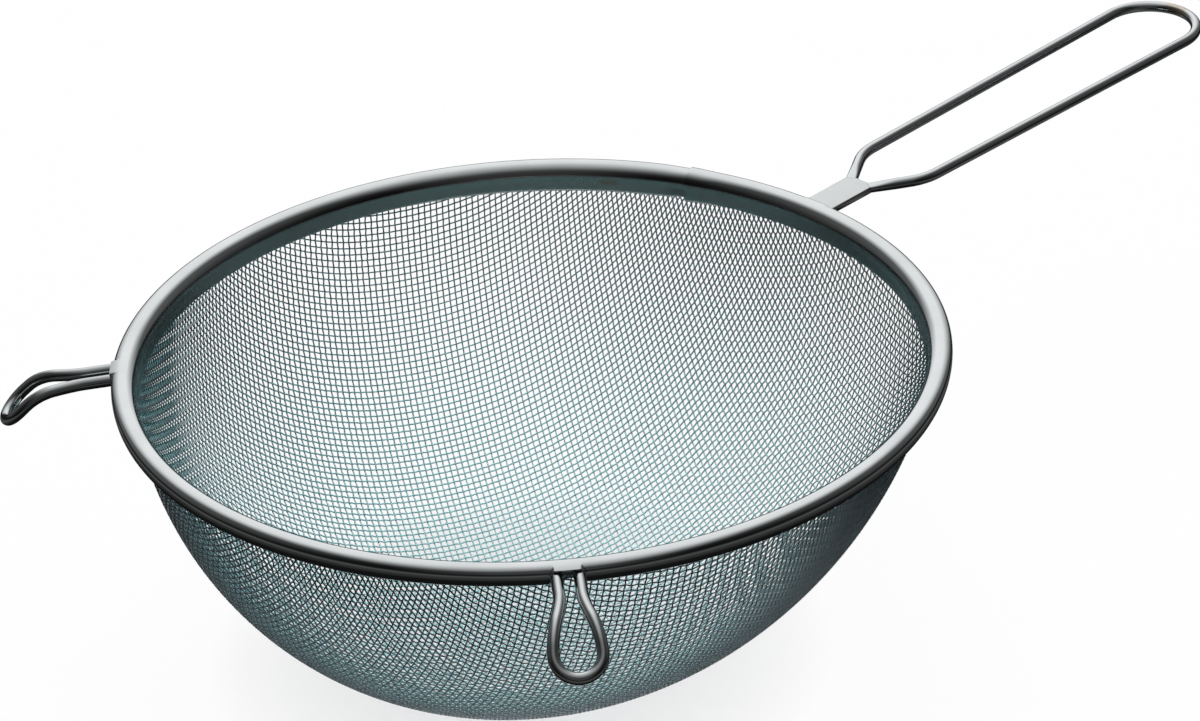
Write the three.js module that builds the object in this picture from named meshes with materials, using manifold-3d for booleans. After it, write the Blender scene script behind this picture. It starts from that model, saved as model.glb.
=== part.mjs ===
// A hand-held kitchen sieve: a bowl of woven wire cloth held in a rolled steel rim, with a wire
// loop handle on a flat neck and two wire ears that rest on the edge of a pot.
// Millimetres. The lowest point of the bowl is the origin, +Z is up and +X runs along the handle.

import * as THREE from 'three';
import { mergeVertices } from 'three/addons/utils/BufferGeometryUtils.js';
import Module from 'manifold-3d';

// Rim: one strip of sheet, rolled into a channel that grips the edge of the cloth
const rimDiameter = 220;
const rimWidth = 6.6;
const rimSheet = 0.6;
const outerCorner = 1.8;
const innerCorner = 2.8;
const rimCrown = 0.3;
const outerWall = 6.2;
const lipRadius = 4;
const innerSkirt = 7.3;
const skirtLean = 0.4;
const seamAngle = 21.7;
const seamGap = 0.4;
const earTabReach = 0.7;
const neckTabReach = -0.5;

// Bowl of woven cloth, whose lowest point lies off the rim's middle, away from the handle
const bowlDepth = 88.5;
const bowlLean = 10.3;
const bowlSweep = 77.9;
const clothThickness = 0.8;
const clothHold = 3.6;
const footRadius = 20;

// Coarse grid that stands for the holes of the cloth, along the two directions of its wires
const gridCells = 12;
const barShare = 0.25;
const weaveAngle = 65.5;

// Wire hoop inside the rim, which carries the ears and the neck
const coreWire = 2.4;

// Ears: teardrop loops of wire, with angles round the rim counted from the handle
const leftEarAngle = 135.1;
const frontEarAngle = -129.5;
const earWire = 2.9;
const earPitch = 5.7;
const earWidth = 12;
const earReach = 32.3;
const earStraight = 7;
const earSlope = 7;
const earTipSlope = 43;
const earBendStart = 15.5;
const earBendRadius = 13.5;

// Handle loop and its neck, with reaches counted from the outside of the rim
const handleWire = 2.9;
const handleReach = 152.3;
const handleWidth = 27.6;
const handleTaper = 1;
const handleRise = 1;
const handleBend = 9;
const splayAngle = 32;
const neckWidth = 9.4;
const neckThickness = 2;
const neckLength = 17.3;
const neckChamfer = 0.3;

// Clearance between pieces that touch
const fitGap = 0.3;

// Facets
const hoopSteps = 72;
const bowlSteps = 56;
const bowlRings = 8;
const wireSides = 10;
const bendStep = 15;
const profileCurveSteps = 3;
const earCurveSteps = 8;

// Places that several pieces share
const radians = THREE.MathUtils.degToRad;
const rimRadius = rimDiameter / 2;
const rimUnderside = rimCrown + rimSheet;
const outerCornerFoot = rimCrown + outerCorner;
const innerCornerFoot = rimCrown + innerCorner;
const skirtTilt = skirtLean / (innerSkirt - innerCornerFoot);
const skirtEnd = rimRadius - rimWidth + rimSheet - skirtLean;
const mouthRadius = skirtEnd + fitGap + clothThickness;
const clothEdge = mouthRadius + clothHold * skirtTilt;
const lipEdge = mouthRadius + (innerSkirt - outerWall + rimSheet) * skirtTilt + fitGap;
const coreRadius = clothEdge + fitGap + coreWire / 2;
const coreDepth = (rimUnderside + outerWall - rimSheet) / 2;
const rootRadius = coreRadius + coreWire / 2 + fitGap;
const bowlDrop = bowlDepth - innerSkirt;

function steel(color, roughness) {
  return new THREE.MeshStandardMaterial({ color, roughness, metalness: 1 });
}

function piece(name, geometry, material) {
  const mesh = new THREE.Mesh(geometry, material);
  mesh.name = name;
  return mesh;
}

// A path through its own knots, so that a straight run takes one step and a bend takes several
class KnotPath extends THREE.Curve {
  constructor(knots) {
    super();
    this.knots = knots;
  }

  getPoint(t, target = new THREE.Vector3()) {
    const last = this.knots.length - 1;
    const index = Math.min(Math.floor(t * last), last - 1);
    return target.lerpVectors(this.knots[index], this.knots[index + 1], t * last - index);
  }

  getTangent(t, target = new THREE.Vector3()) {
    const last = this.knots.length - 1;
    const index = Math.round(t * last);
    const before = this.knots[Math.max(index - 1, 0)];
    const after = this.knots[Math.min(index + 1, last)];
    return target.subVectors(after, before).normalize();
  }

  getUtoTmapping(u) {
    return u;
  }
}

function sweep(shape, knots) {
  return new THREE.ExtrudeGeometry(shape, {
    extrudePath: new KnotPath(knots),
    steps: knots.length - 1,
    curveSegments: profileCurveSteps,
  });
}

function wire(diameter, knots) {
  const section = [];
  for (let i = 0; i < wireSides; i += 1) {
    const turn = (2 * Math.PI * i) / wireSides;
    section.push(new THREE.Vector2(Math.cos(turn), Math.sin(turn)).multiplyScalar(diameter / 2));
  }
  return sweep(new THREE.Shape(section), knots);
}

// Points of an arc in the XY plane, both ends included
function arc(centreX, centreY, radius, from, to, steps) {
  const points = [];
  for (let i = 0; i <= steps; i += 1) {
    const turn = radians(from + ((to - from) * i) / steps);
    const x = centreX + radius * Math.cos(turn);
    const y = centreY + radius * Math.sin(turn);
    points.push(new THREE.Vector3(x, y, 0));
  }
  return points;
}

// The same points on the other side of the X axis, in the order of a path that comes back
function mirrored(points) {
  return points.map((point) => new THREE.Vector3(point.x, -point.y, point.z)).reverse();
}

// Joins and cuts of closed meshes
const wasm = await Module();
wasm.setup();

function solid(geometry) {
  const plain = geometry.clone();
  plain.deleteAttribute('normal');
  plain.deleteAttribute('uv');
  const merged = mergeVertices(plain);
  const corners = merged.index.array;
  const triangles = [];
  for (let i = 0; i < corners.length; i += 3) {
    const [a, b, c] = corners.slice(i, i + 3);
    if (a !== b && b !== c && c !== a) triangles.push(a, b, c);
  }
  return new wasm.Manifold(new wasm.Mesh({
    numProp: 3,
    vertProperties: new Float32Array(merged.attributes.position.array),
    triVerts: new Uint32Array(triangles),
  }));
}

function meshGeometry(manifold) {
  const mesh = manifold.getMesh();
  const geometry = new THREE.BufferGeometry();
  geometry.setAttribute('position', new THREE.BufferAttribute(mesh.vertProperties, 3));
  geometry.setIndex(new THREE.BufferAttribute(mesh.triVerts, 1));
  geometry.computeVertexNormals();
  return geometry;
}

// A block on the rim at an angle, between two radii and two depths below the rim's top
function rimBlock(angle, width, innerRadius, outerRadius, topDepth, bottomDepth) {
  const block = new THREE.BoxGeometry(outerRadius - innerRadius, width, bottomDepth - topDepth);
  block.translate((innerRadius + outerRadius) / 2, 0, -(topDepth + bottomDepth) / 2);
  block.rotateZ(radians(angle));
  return solid(block);
}

// Section of the rolled strip: x is the depth below the rim's top, y the distance in from its outside
function rimSection() {
  const lipReach = rimRadius - lipEdge;
  const inside = rimWidth - rimSheet;
  const lipFace = outerWall - rimSheet;
  const crest = (outerCorner + rimWidth - innerCorner) / 2;
  const section = new THREE.Shape();
  section.moveTo(outerWall, lipReach);
  section.lineTo(outerWall, lipRadius);
  section.quadraticCurveTo(outerWall, 0, outerWall - lipRadius, 0);
  section.lineTo(outerCornerFoot, 0);
  section.quadraticCurveTo(rimCrown, 0, rimCrown, outerCorner);
  section.quadraticCurveTo(-rimCrown, crest, rimCrown, rimWidth - innerCorner);
  section.quadraticCurveTo(rimCrown, rimWidth, innerCornerFoot, rimWidth);
  section.lineTo(innerSkirt, rimWidth + skirtLean);
  section.lineTo(innerSkirt, inside + skirtLean);
  section.lineTo(innerCornerFoot, inside);
  section.quadraticCurveTo(rimUnderside, inside, rimUnderside, rimWidth - innerCorner);
  section.lineTo(rimUnderside, outerCorner);
  section.quadraticCurveTo(rimUnderside, rimSheet, outerCornerFoot, rimSheet);
  section.lineTo(outerWall - lipRadius, rimSheet);
  section.quadraticCurveTo(lipFace, rimSheet, lipFace, lipRadius);
  section.lineTo(lipFace, lipReach);
  section.closePath();
  return section;
}

// The outer wall is cut away where an ear or the neck enters, and the top stays flat there as a tab,
// which reaches past the rim's outside over an ear and stops short of it over the neck
function rimGeometry() {
  const halfGap = THREE.MathUtils.radToDeg(seamGap / 2 / rimRadius);
  const hoop = arc(0, 0, rimRadius, seamAngle + halfGap, seamAngle + 360 - halfGap, hoopSteps);
  const earNotch = earPitch + earWire + 2 * fitGap;
  const neckNotch = neckWidth + 2 * fitGap;
  const notches = [
    [leftEarAngle, earNotch, earTabReach],
    [frontEarAngle, earNotch, earTabReach],
    [0, neckNotch, neckTabReach],
  ];
  const notchFoot = lipEdge - fitGap / 2;
  const notchOutside = rimRadius + rimWidth;
  const tabRoot = rimRadius - rimWidth / 2;
  let rim = solid(sweep(rimSection(), hoop));
  for (const [angle, width, reach] of notches) {
    const cut = rimBlock(angle, width, notchFoot, notchOutside, rimUnderside, innerSkirt);
    const tab = rimBlock(angle, width, tabRoot, rimRadius + reach, rimCrown, rimUnderside);
    rim = rim.subtract(cut).add(tab);
  }
  return meshGeometry(rim);
}

function coreGeometry() {
  return new THREE.TorusGeometry(coreRadius, coreWire / 2, wireSides, hoopSteps);
}

// Outer meridian of the cloth: an oval sweep from the flat foot up to the end of the rim's skirt
function clothMeridian() {
  const mouth = radians(bowlSweep);
  const foot = Math.asin((footRadius * Math.sin(mouth)) / mouthRadius);
  const points = [];
  for (let i = 0; i <= bowlRings; i += 1) {
    const turn = foot + ((mouth - foot) * i) / bowlRings;
    const radius = (mouthRadius * Math.sin(turn)) / Math.sin(mouth);
    const rise = (Math.cos(foot) - Math.cos(turn)) / (Math.cos(foot) - Math.cos(mouth));
    points.push(new THREE.Vector2(radius, bowlDrop * rise));
  }
  return points;
}

// The inner face lies one cloth thickness inside the outer one
function insideOf(points) {
  return points.map((point, i) => {
    const before = points[Math.max(i - 1, 0)];
    const after = points[Math.min(i + 1, points.length - 1)];
    const along = after.clone().sub(before);
    const inward = new THREE.Vector2(-along.y, along.x).setLength(clothThickness);
    if (i === 0) inward.set(0, clothThickness);
    if (i === points.length - 1) inward.set(-clothThickness, 0);
    return inward.add(point);
  });
}

// Spans of the openings across the bowl, at equal steps along its oval
function openingSpans() {
  const ovalRadius = mouthRadius / Math.sin(radians(bowlSweep));
  const step = (2 * bowlSweep) / gridCells;
  const spans = [];
  for (let i = 0; i < gridCells; i += 1) {
    const from = step * (i + barShare / 2) - bowlSweep;
    const to = step * (i + 1 - barShare / 2) - bowlSweep;
    spans.push([from, to].map((turn) => ovalRadius * Math.sin(radians(turn))));
  }
  return spans;
}

// Upright columns that cut the openings. The cells that meet the foot stay closed, for the bowl to stand on
function openingColumns() {
  const hem = (barShare * Math.PI * mouthRadius) / (2 * gridCells);
  const height = bowlDrop - hem + clothThickness;
  const columns = [];
  const spans = openingSpans();
  for (const [left, right] of spans) {
    for (const [front, back] of spans) {
      const nearX = Math.min(Math.abs(left), Math.abs(right));
      const nearY = Math.min(Math.abs(front), Math.abs(back));
      const nearest = Math.hypot(nearX, nearY);
      if (nearest < footRadius || nearest > mouthRadius - hem) continue;
      const column = new THREE.BoxGeometry(right - left, back - front, height);
      column.translate((left + right) / 2, (front + back) / 2, height / 2 - clothThickness);
      column.rotateZ(radians(weaveAngle));
      columns.push(solid(column));
    }
  }
  return wasm.Manifold.union(columns);
}

// Above the mouth the cloth's edge stands in the rim's channel, along the skirt
function bowlGeometry() {
  const outer = clothMeridian();
  const inner = insideOf(outer);
  const edgeHeight = bowlDrop + clothHold;
  const profile = [
    new THREE.Vector2(0, 0),
    ...outer,
    new THREE.Vector2(clothEdge, edgeHeight),
    new THREE.Vector2(clothEdge - clothThickness, edgeHeight),
    ...inner.reverse(),
    new THREE.Vector2(0, clothThickness),
  ];
  const bowl = new THREE.LatheGeometry(profile, bowlSteps);
  bowl.rotateX(Math.PI / 2);
  const cloth = meshGeometry(solid(bowl).subtract(openingColumns()));
  const place = cloth.attributes.position;
  for (let i = 0; i < place.count; i += 1) {
    const share = Math.min(place.getZ(i) / bowlDrop, 1);
    place.setX(i, place.getX(i) + bowlLean * share);
  }
  cloth.computeVertexNormals();
  return cloth;
}

// An ear lies in a sheet that slopes down from the rim and bends further down towards its tip
function earPoint(along, across) {
  const slope = radians(earSlope);
  const tipSlope = radians(earTipSlope);
  const bendLength = (tipSlope - slope) * earBendRadius;
  const straight = Math.min(along, earBendStart);
  const bent = THREE.MathUtils.clamp(along - earBendStart, 0, bendLength);
  const tip = Math.max(along - earBendStart - bendLength, 0);
  const turned = slope + bent / earBendRadius;
  const bendOut = earBendRadius * (Math.sin(turned) - Math.sin(slope));
  const bendDown = earBendRadius * (Math.cos(slope) - Math.cos(turned));
  const out = straight * Math.cos(slope) + bendOut + tip * Math.cos(tipSlope);
  const down = straight * Math.sin(slope) + bendDown + tip * Math.sin(tipSlope);
  return new THREE.Vector3(rimRadius + out, across, -down);
}

// One leg runs straight, widens, and the round end brings the wire back along the other leg
function earGeometry() {
  const endRadius = earWidth / 2;
  const endCentre = earReach - endRadius;
  const third = (endCentre - earStraight) / 3;
  const widening = new THREE.CubicBezierCurve(
    new THREE.Vector2(earStraight, -earPitch / 2),
    new THREE.Vector2(earStraight + third, -earPitch / 2),
    new THREE.Vector2(endCentre - third, -endRadius),
    new THREE.Vector2(endCentre, -endRadius),
  );
  const leg = [
    new THREE.Vector3(rootRadius - rimRadius, -earPitch / 2, 0),
    ...widening.getPoints(earCurveSteps).map((point) => new THREE.Vector3(point.x, point.y, 0)),
  ];
  const end = arc(endCentre, 0, endRadius, -90, 90, 180 / bendStep).slice(1, -1);
  const path = [...leg, ...end, ...mirrored(leg)];
  return wire(earWire, path.map((point) => earPoint(point.x, point.y)));
}

// The neck's end is cut square to the two legs, which leave it at the splay angle
const splay = radians(splayAngle);
const legDirection = new THREE.Vector2(Math.cos(splay), Math.sin(splay));
const legRoot = new THREE.Vector2(
  neckLength - (handleWire / 2) * legDirection.y,
  neckWidth / 2 - (handleWire / 2) * legDirection.x,
);

function neckGeometry() {
  const faceHalf = new THREE.Vector2(-legDirection.y, legDirection.x).multiplyScalar(handleWire / 2);
  const outerCorner = legRoot.clone().add(faceHalf);
  const innerCorner = legRoot.clone().sub(faceHalf);
  const root = rootRadius - rimRadius;
  const outline = new THREE.Shape([
    new THREE.Vector2(root, -neckWidth / 2),
    new THREE.Vector2(outerCorner.x, -outerCorner.y),
    new THREE.Vector2(innerCorner.x, -innerCorner.y),
    innerCorner,
    outerCorner,
    new THREE.Vector2(root, neckWidth / 2),
  ]);
  const plate = new THREE.ExtrudeGeometry(outline, {
    depth: neckThickness - 2 * neckChamfer,
    bevelThickness: neckChamfer,
    bevelSize: neckChamfer,
    bevelOffset: -neckChamfer,
    bevelSegments: 1,
  });
  plate.translate(0, 0, neckChamfer - neckThickness / 2);
  return plate;
}

// One wire: out from the neck, round a bend, along the grip, round the far end and back
function handleGeometry() {
  const endRadius = handleWidth / 2;
  const endCentre = handleReach - endRadius;
  const taper = radians(handleTaper);
  const start = legRoot.clone().addScaledVector(legDirection, fitGap);
  const run = (endRadius - start.y - (endCentre - start.x) * Math.tan(taper))
    / (legDirection.y - legDirection.x * Math.tan(taper));
  const corner = start.clone().addScaledVector(legDirection, run);
  const bendAngle = splayAngle - handleTaper;
  const tangent = handleBend * Math.tan(radians(bendAngle) / 2);
  const bendStart = corner.clone().addScaledVector(legDirection, -tangent);
  const bendCentreX = bendStart.x + handleBend * legDirection.y;
  const bendCentreY = bendStart.y - handleBend * legDirection.x;
  const bendSteps = Math.ceil(bendAngle / bendStep);
  const bend = arc(bendCentreX, bendCentreY, handleBend, 90 + splayAngle, 90 + handleTaper, bendSteps);
  const end = arc(endCentre, 0, endRadius, 90, -90, 180 / bendStep);
  const leg = [new THREE.Vector3(start.x, start.y, 0), ...bend];
  return wire(handleWire, [...leg, ...end, ...mirrored(leg)]);
}

// Everything that hangs on the rim is placed from the middle of the rim's top
const onRim = new THREE.Group();
onRim.position.set(bowlLean, 0, bowlDepth);
onRim.add(piece('rim', rimGeometry(), steel(0xc9cdcd, 0.22)));

const core = piece('rim_core', coreGeometry(), steel(0x8d9394, 0.4));
core.position.z = -coreDepth;
onRim.add(core);

const earAngles = { left_ear: leftEarAngle, front_ear: frontEarAngle };
for (const [name, angle] of Object.entries(earAngles)) {
  const ear = piece(name, earGeometry(), steel(0xc2c5c5, 0.2));
  ear.position.z = -(rimUnderside + fitGap + earWire / 2);
  ear.rotation.z = radians(angle);
  onRim.add(ear);
}

const handle = new THREE.Group();
handle.position.set(rimRadius, 0, -(rimUnderside + fitGap + neckThickness / 2));
handle.rotation.y = -radians(handleRise);
handle.add(piece('handle_neck', neckGeometry(), steel(0xcdd1d1, 0.28)));
handle.add(piece('handle_loop', handleGeometry(), steel(0xc2c5c5, 0.2)));
onRim.add(handle);

const sieve = new THREE.Group();
sieve.add(onRim);
sieve.add(piece('mesh_bowl', bowlGeometry(), steel(0x77858a, 0.45)));

export default sieve;
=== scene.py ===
"""Looks of a kitchen sieve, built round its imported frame: woven cloth, rolled rim, bent wires and studio."""
import math

import bmesh
import bpy
import numpy as np
from mathutils import Matrix, Vector


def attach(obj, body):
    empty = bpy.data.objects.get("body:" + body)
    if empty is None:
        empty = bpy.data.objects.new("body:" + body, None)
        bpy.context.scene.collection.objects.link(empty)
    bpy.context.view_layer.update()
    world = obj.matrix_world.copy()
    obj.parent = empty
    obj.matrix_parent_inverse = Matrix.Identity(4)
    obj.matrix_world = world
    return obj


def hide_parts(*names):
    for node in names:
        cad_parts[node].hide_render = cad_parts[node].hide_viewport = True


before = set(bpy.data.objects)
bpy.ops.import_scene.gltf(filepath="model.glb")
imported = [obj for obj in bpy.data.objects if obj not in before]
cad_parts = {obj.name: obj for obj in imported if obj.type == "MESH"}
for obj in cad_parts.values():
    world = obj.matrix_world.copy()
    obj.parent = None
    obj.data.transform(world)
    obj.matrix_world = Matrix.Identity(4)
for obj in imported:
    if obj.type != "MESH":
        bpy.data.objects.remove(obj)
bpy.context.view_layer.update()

# Millimetres throughout, turned into metres when a mesh is made
MM = 0.001

# Rim
RIM_RADIUS = 110.0
RIM_WIDTH = 6.6
RIM_SHEET = 0.6
OUTER_CORNER = 1.8
INNER_CORNER = 2.8
RIM_CROWN = 0.3
OUTER_WALL = 6.2
LIP_RADIUS = 4.0
INNER_SKIRT = 7.3
SKIRT_LEAN = 0.4
SEAM_ANGLE = 21.7
# Tabs over the ears and the neck: reach outwards, depth of the end, and how far in the top starts to fall
EAR_TAB = (0.45, 0.6, 1.4)
NECK_TAB = (-0.3, 0.8, 0.4)

# Bowl of cloth
BOWL_DEPTH = 88.5
BOWL_LEAN = 10.3
BOWL_SWEEP = 77.9
CLOTH_THICKNESS = 0.8
CLOTH_HOLD = 3.6
FOOT_RADIUS = 20.0
WIRE_PITCH = 1.75
WIRE_DIAMETER = 0.42
WEAVE_ANGLE = 65.5

# Ears, with wire as thick as in the photograph, a little thicker than in the solids
EAR_ANGLES = {"left_ear": 135.1, "front_ear": -129.5}
EAR_WIRE = 3.2
EAR_PITCH = 5.7
EAR_WIDTH = 12.0
EAR_REACH = 32.3
EAR_STRAIGHT = 7.0
EAR_SLOPE = 7.0
EAR_TIP_SLOPE = 43.0
EAR_BEND_START = 15.5
EAR_BEND_RADIUS = 13.5

# Handle and neck, with wire and bends as in the photograph, thicker and rounder than in the solids
HANDLE_WIRE = 3.1
HANDLE_REACH = 152.3
HANDLE_WIDTH = 27.6
HANDLE_TAPER = 1.0
HANDLE_RISE = 1.0
HANDLE_BEND = 16.0
SPLAY_ANGLE = 32.0
NECK_WIDTH = 9.4
NECK_THICKNESS = 2.0
NECK_LENGTH = 17.3
NECK_BEVEL = 0.38

# Hoop inside the rim, and the gap between pieces that touch
CORE_WIRE = 2.4
FIT_GAP = 0.3

# Places that several pieces share
RIM_UNDERSIDE = RIM_CROWN + RIM_SHEET
OUTER_FOOT = RIM_CROWN + OUTER_CORNER
INNER_FOOT = RIM_CROWN + INNER_CORNER
SKIRT_TILT = SKIRT_LEAN / (INNER_SKIRT - INNER_FOOT)
SKIRT_END = RIM_RADIUS - RIM_WIDTH + RIM_SHEET - SKIRT_LEAN
MOUTH_RADIUS = SKIRT_END + FIT_GAP + CLOTH_THICKNESS
CLOTH_EDGE = MOUTH_RADIUS + CLOTH_HOLD * SKIRT_TILT
LIP_EDGE = MOUTH_RADIUS + (INNER_SKIRT - OUTER_WALL + RIM_SHEET) * SKIRT_TILT + FIT_GAP
ROOT_RADIUS = CLOTH_EDGE + FIT_GAP + CORE_WIRE + FIT_GAP
BOWL_DROP = BOWL_DEPTH - INNER_SKIRT
RIM_MIDDLE = np.array([BOWL_LEAN, 0.0, BOWL_DEPTH])


def unit(vectors):
    """Vectors scaled to length one along the last axis."""
    return vectors / np.linalg.norm(vectors, axis=-1, keepdims=True)


def smooth_step(value):
    """From 0 to 1 with level ends."""
    t = np.clip(value, 0.0, 1.0)
    return t * t * (3 - 2 * t)


# Meshes from arrays

def add_mesh(name, points, quads, caps, material):
    """A mesh object from points in millimetres, four-sided faces and end faces with any number of sides."""
    cap_sizes = [len(cap) for cap in caps]
    corners = np.concatenate([quads.ravel(), *caps]).astype(np.int32)
    sizes = np.concatenate([np.full(len(quads), 4), cap_sizes]).astype(np.int32)
    starts = np.concatenate([[0], np.cumsum(sizes)[:-1]]).astype(np.int32)
    mesh = bpy.data.meshes.new(name)
    mesh.vertices.add(len(points))
    mesh.vertices.foreach_set("co", (points * MM).astype(np.float32).ravel())
    mesh.loops.add(len(corners))
    mesh.loops.foreach_set("vertex_index", corners)
    mesh.polygons.add(len(sizes))
    mesh.polygons.foreach_set("loop_start", starts)
    mesh.polygons.foreach_set("use_smooth", np.arange(len(sizes)) < len(quads))
    mesh.update(calc_edges=True)
    mesh.materials.append(material)
    obj = bpy.data.objects.new(name, mesh)
    bpy.context.scene.collection.objects.link(obj)
    return obj


def ring_faces(rings, sides, first=0):
    """Faces between rings that follow each other, wound so that they face outwards for rings laid out
    anticlockwise when seen against the direction of travel, with the two end caps."""
    ring = np.arange(rings - 1)[:, None] * sides
    side = np.arange(sides)[None, :]
    beside = (side + 1) % sides
    quads = np.stack([ring + side, ring + beside, ring + sides + beside, ring + sides + side], -1)
    start_cap = first + np.arange(sides)[::-1]
    end_cap = first + (rings - 1) * sides + np.arange(sides)
    return first + quads.reshape(-1, 4), [start_cap, end_cap]


def tangents(path):
    """Directions along a path of points."""
    steps = np.diff(path, axis=0)
    ahead = np.vstack([steps, steps[-1:]])
    behind = np.vstack([steps[:1], steps])
    return unit(unit(ahead) + unit(behind))


def tube_rings(path, normals, section):
    """Rings of a section carried along a path: section is an array of (along the normal, across) pairs,
    one set for the whole path or one for each of its points."""
    along = tangents(path)
    across = unit(np.cross(along, normals))
    upright = np.cross(across, along)
    section = np.broadcast_to(section, (len(path),) + section.shape[-2:])
    return (path[:, None, :] + section[..., :1] * upright[:, None, :]
            + section[..., 1:] * across[:, None, :])


def circle_section(radius, sides):
    turn = np.arange(sides) * (2 * math.pi / sides)
    return radius * np.stack([np.cos(turn), -np.sin(turn)], -1)


def arc(centre_x, centre_y, radius, start, end, steps):
    turn = np.radians(np.linspace(start, end, steps + 1))
    return np.stack([centre_x + radius * np.cos(turn), centre_y + radius * np.sin(turn)], -1)


def curve(points, steps):
    """A curve with any number of control points, both ends included. Two points make a straight run."""
    runs = [np.array(point, float) for point in points]
    t = np.linspace(0, 1, steps + 1)[:, None]
    while len(runs) > 1:
        runs = [first * (1 - t) + second * t for first, second in zip(runs, runs[1:])]
    return runs[0]


# Materials

class Nodes:
    """A short way to add and link shader nodes."""

    def __init__(self, name):
        self.material = bpy.data.materials.new(name)
        self.material.use_nodes = True
        self.tree = self.material.node_tree
        self.shader = self.tree.nodes["Principled BSDF"]

    def add(self, kind, inputs=None, **settings):
        node = self.tree.nodes.new("ShaderNode" + kind)
        for key, value in settings.items():
            setattr(node, key, value)
        for key, value in (inputs or {}).items():
            self.put(node.inputs[key], value)
        return node

    def put(self, socket, value):
        if isinstance(value, bpy.types.NodeSocket):
            self.tree.links.new(value, socket)
        else:
            socket.default_value = value

    def math(self, operation, *values):
        node = self.add("Math", operation=operation)
        for socket, value in zip(node.inputs, values):
            self.put(socket, value)
        return node.outputs[0]

    def noise(self, place, scale, detail=3.0, rough=0.5):
        inputs = {"Vector": place, "Scale": scale, "Detail": detail, "Roughness": rough}
        return self.add("TexNoise", inputs).outputs["Fac"]

    def spread(self, value, low, high, to_low, to_high):
        inputs = {"Value": value, "From Min": low, "From Max": high, "To Min": to_low, "To Max": to_high}
        return self.add("MapRange", inputs).outputs["Result"]

    def blend(self, share, first, second):
        node = self.add("Mix", data_type="RGBA")
        self.put(node.inputs[0], share)
        self.put(node.inputs[6], first)
        self.put(node.inputs[7], second)
        return node.outputs[2]

    def scaled(self, place, scale):
        return self.add("Mapping", {"Vector": place, "Scale": scale}).outputs[0]

    def bump(self, height, strength, distance):
        inputs = {"Height": height, "Strength": strength, "Distance": distance}
        return self.add("Bump", inputs).outputs[0]


def round_place(nodes):
    """Places counted round the rim, out from its middle and up, so that a grain can run round it."""
    place = nodes.add("TexCoord").outputs["Object"]
    parts = nodes.add("SeparateXYZ", {"Vector": place})
    x = nodes.math("SUBTRACT", parts.outputs[0], BOWL_LEAN * MM)
    turn = nodes.math("ARCTAN2", parts.outputs[1], x)
    around = nodes.math("MULTIPLY", turn, RIM_RADIUS * MM)
    out = nodes.math("SQRT", nodes.math("ADD", nodes.math("POWER", x, 2.0),
                                        nodes.math("POWER", parts.outputs[1], 2.0)))
    inputs = {0: around, 1: out, 2: parts.outputs[2]}
    return place, nodes.add("CombineXYZ", inputs).outputs[0]


def steel(name, light, dark, rough, grain_scale, place_of):
    """Polished steel: a little cloudy, with a fine drawn grain and rubbed patches."""
    nodes = Nodes(name)
    place, grain_place = place_of(nodes)
    cloud = nodes.noise(place, 70.0, 4.0)
    smear = nodes.noise(place, 260.0, 5.0, 0.6)
    grain = nodes.noise(nodes.scaled(grain_place, grain_scale), 1.0, 2.0)
    colour = nodes.blend(nodes.spread(cloud, 0.3, 0.75, 0.0, 1.0), light, dark)
    nodes.put(nodes.shader.inputs["Base Color"], colour)
    nodes.shader.inputs["Metallic"].default_value = 1.0
    worn = nodes.math("ADD", nodes.spread(smear, 0.35, 0.75, rough * 0.75, rough * 1.35),
                      nodes.spread(grain, 0.3, 0.7, -0.02, 0.03))
    nodes.put(nodes.shader.inputs["Roughness"], worn)
    nodes.put(nodes.shader.inputs["Normal"], nodes.bump(grain, 0.03, 0.00001))
    return nodes


def plain_place(nodes):
    place = nodes.add("TexCoord").outputs["Object"]
    return place, place


def tube_place(nodes):
    """Grain that runs along a wire, from the wire's own map."""
    place = nodes.add("TexCoord").outputs["Object"]
    return place, nodes.add("UVMap", uv_map="along").outputs[0]


def heat_mark(nodes, place, middle, size, tint):
    """A brown patch where the steel was heated, with a ragged edge. Middle and size are in millimetres."""
    shifted = nodes.add("VectorMath", {0: place, 1: [value * MM for value in middle]}, operation="SUBTRACT")
    fitted = nodes.add("VectorMath", {0: shifted.outputs[0], 1: [1 / (value * MM) for value in size]},
                       operation="MULTIPLY")
    far = nodes.add("VectorMath", {0: fitted.outputs[0]}, operation="LENGTH").outputs["Value"]
    ragged = nodes.math("ADD", far, nodes.spread(nodes.noise(place, 900.0, 3.0), 0.3, 0.7, -0.45, 0.45))
    share = nodes.spread(ragged, 0.55, 1.1, 0.85, 0.0)
    clean = nodes.shader.inputs["Base Color"].links[0].from_socket
    nodes.put(nodes.shader.inputs["Base Color"], nodes.blend(share, clean, tint))


WELD_ANGLE = 33.9
WELD_DEPTH = 4.6
WELD_SIZE = (2.6, 2.6, 1.3)
WELD_TINT = (0.42, 0.30, 0.24, 1)
HEAT_SIZE = (4.0, 5.0, 5.0)
HEAT_TINT = (0.62, 0.52, 0.42, 1)
# Colour of the painted shade on the rim's inner wall, and how far in from the wall it reaches
PAINTED_SHADE_TINT = (0.43, 0.40, 0.39, 1)
PAINTED_SHADE_DEPTH = 0.9

rim_nodes = steel("rim_steel", (0.77, 0.80, 0.81, 1), (0.68, 0.71, 0.72, 1), 0.10,
                  (90.0, 5200.0, 5200.0), round_place)
wire_nodes = steel("wire_steel", (0.76, 0.79, 0.80, 1), (0.67, 0.70, 0.71, 1), 0.09,
                   (140.0, 9.0, 1.0), tube_place)
neck_nodes = steel("neck_steel", (0.70, 0.72, 0.72, 1), (0.64, 0.67, 0.67, 1), 0.2,
                   (160.0, 3800.0, 3800.0), plain_place)
core_nodes = steel("core_steel", (0.50, 0.51, 0.51, 1), (0.40, 0.41, 0.41, 1), 0.35,
                   (90.0, 3000.0, 3000.0), round_place)
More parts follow.
